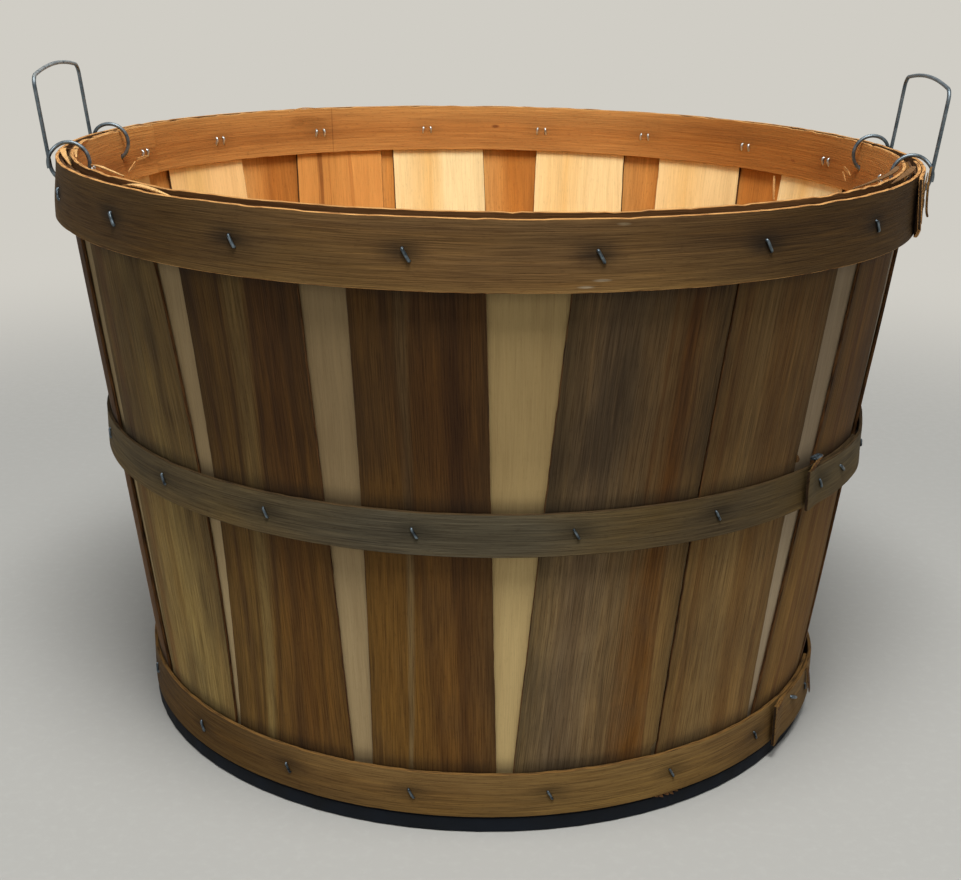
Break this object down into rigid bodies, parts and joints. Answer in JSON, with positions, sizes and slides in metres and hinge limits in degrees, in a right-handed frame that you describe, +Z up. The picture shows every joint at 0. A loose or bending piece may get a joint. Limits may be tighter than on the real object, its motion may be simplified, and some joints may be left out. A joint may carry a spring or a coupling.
{
  "type": "veneer stave basket",
  "caption": "Round tapered basket of upright bent-wood staves held by stapled hoops, with a flat floor and two swinging wire handles for carrying produce.",
  "frame": {"origin": "middle of the underside of the base board, on the surface that the basket stands on", "axes": "+Z up through the mouth, X through the two wire handles, the picture's view looks along +Y"},
  "size_m": [0.4761, 0.46, 0.3515],
  "materials": {
    "outer_stave_veneer": "weathered dark veneer with open grain",
    "inner_stave_veneer": "pale sapwood veneer, dry and matt",
    "rim_hoop_veneer": "aged brown veneer band, matt with a slight rub",
    "inner_hoop_veneer": "orange-brown veneer band, matt",
    "mid_hoop_veneer": "greyed olive-brown veneer band, matt",
    "bottom_hoop_veneer": "warm brown veneer band, matt",
    "base_wood": "nearly black board, matt",
    "floor_wood": "plain sawn boards, matt",
    "handle_wire": "dull galvanised wire",
    "staple_wire": "bright staple wire"
  },
  "bodies": {
    "basket": {"outer_rim_hoop": "rim_hoop_veneer", "inner_rim_hoop": "inner_hoop_veneer", "mid_hoop": "mid_hoop_veneer", "bottom_hoop": "bottom_hoop_veneer", "base_board": "base_wood", "floor_board_front": "floor_wood", "floor_board_middle": "floor_wood", "floor_board_back": "floor_wood", "outer_stave_01": "outer_stave_veneer", "outer_stave_02": "outer_stave_veneer", "outer_stave_03": "outer_stave_veneer", "outer_stave_04": "outer_stave_veneer", "outer_stave_05": "outer_stave_veneer", "outer_stave_06": "outer_stave_veneer", "outer_stave_07": "outer_stave_veneer", "outer_stave_08": "outer_stave_veneer", "outer_stave_09": "outer_stave_veneer", "outer_stave_10": "outer_stave_veneer", "outer_stave_11": "outer_stave_veneer", "outer_stave_12": "outer_stave_veneer", "outer_stave_13": "outer_stave_veneer", "outer_stave_14": "outer_stave_veneer", "outer_stave_15": "outer_stave_veneer", "outer_stave_16": "outer_stave_veneer", "inner_stave_01": "inner_stave_veneer", "inner_stave_02": "inner_stave_veneer", "inner_stave_03": "inner_stave_veneer", "inner_stave_04": "inner_stave_veneer", "inner_stave_05": "inner_stave_veneer", "inner_stave_06": "inner_stave_veneer", "inner_stave_07": "inner_stave_veneer", "inner_stave_08": "inner_stave_veneer", "inner_stave_09": "inner_stave_veneer", "inner_stave_10": "inner_stave_veneer", "inner_stave_11": "inner_stave_veneer", "inner_stave_12": "inner_stave_veneer", "inner_stave_13": "inner_stave_veneer", "inner_stave_14": "inner_stave_veneer", "inner_stave_15": "inner_stave_veneer", "inner_stave_16": "inner_stave_veneer", "rim_staple_01": "staple_wire", "rim_staple_02": "staple_wire", "rim_staple_03": "staple_wire", "rim_staple_04": "staple_wire", "rim_staple_05": "staple_wire", "rim_staple_06": "staple_wire", "rim_staple_07": "staple_wire", "rim_staple_08": "staple_wire", "rim_staple_09": "staple_wire", "rim_staple_10": "staple_wire", "rim_staple_11": "staple_wire", "rim_staple_12": "staple_wire", "rim_staple_13": "staple_wire", "rim_staple_14": "staple_wire", "rim_staple_15": "staple_wire", "rim_staple_16": "staple_wire", "rim_staple_17": "staple_wire", "rim_staple_18": "staple_wire"},
    "left_handle": {"handle_left": "handle_wire"},
    "right_handle": {"handle_right": "handle_wire"}
  },
  "joints": [
    {"name": "left_handle_hinge", "type": "hinge", "parent": "basket", "child": "left_handle", "pos_m": [-0.21952, 0, 0.303], "axis": [0, -1, 0], "range_deg": [-150, 20]},
    {"name": "right_handle_hinge", "type": "hinge", "parent": "basket", "child": "right_handle", "pos_m": [0.22172, 0, 0.303], "axis": [0, 1, 0], "range_deg": [-150, 20]}
  ]
}
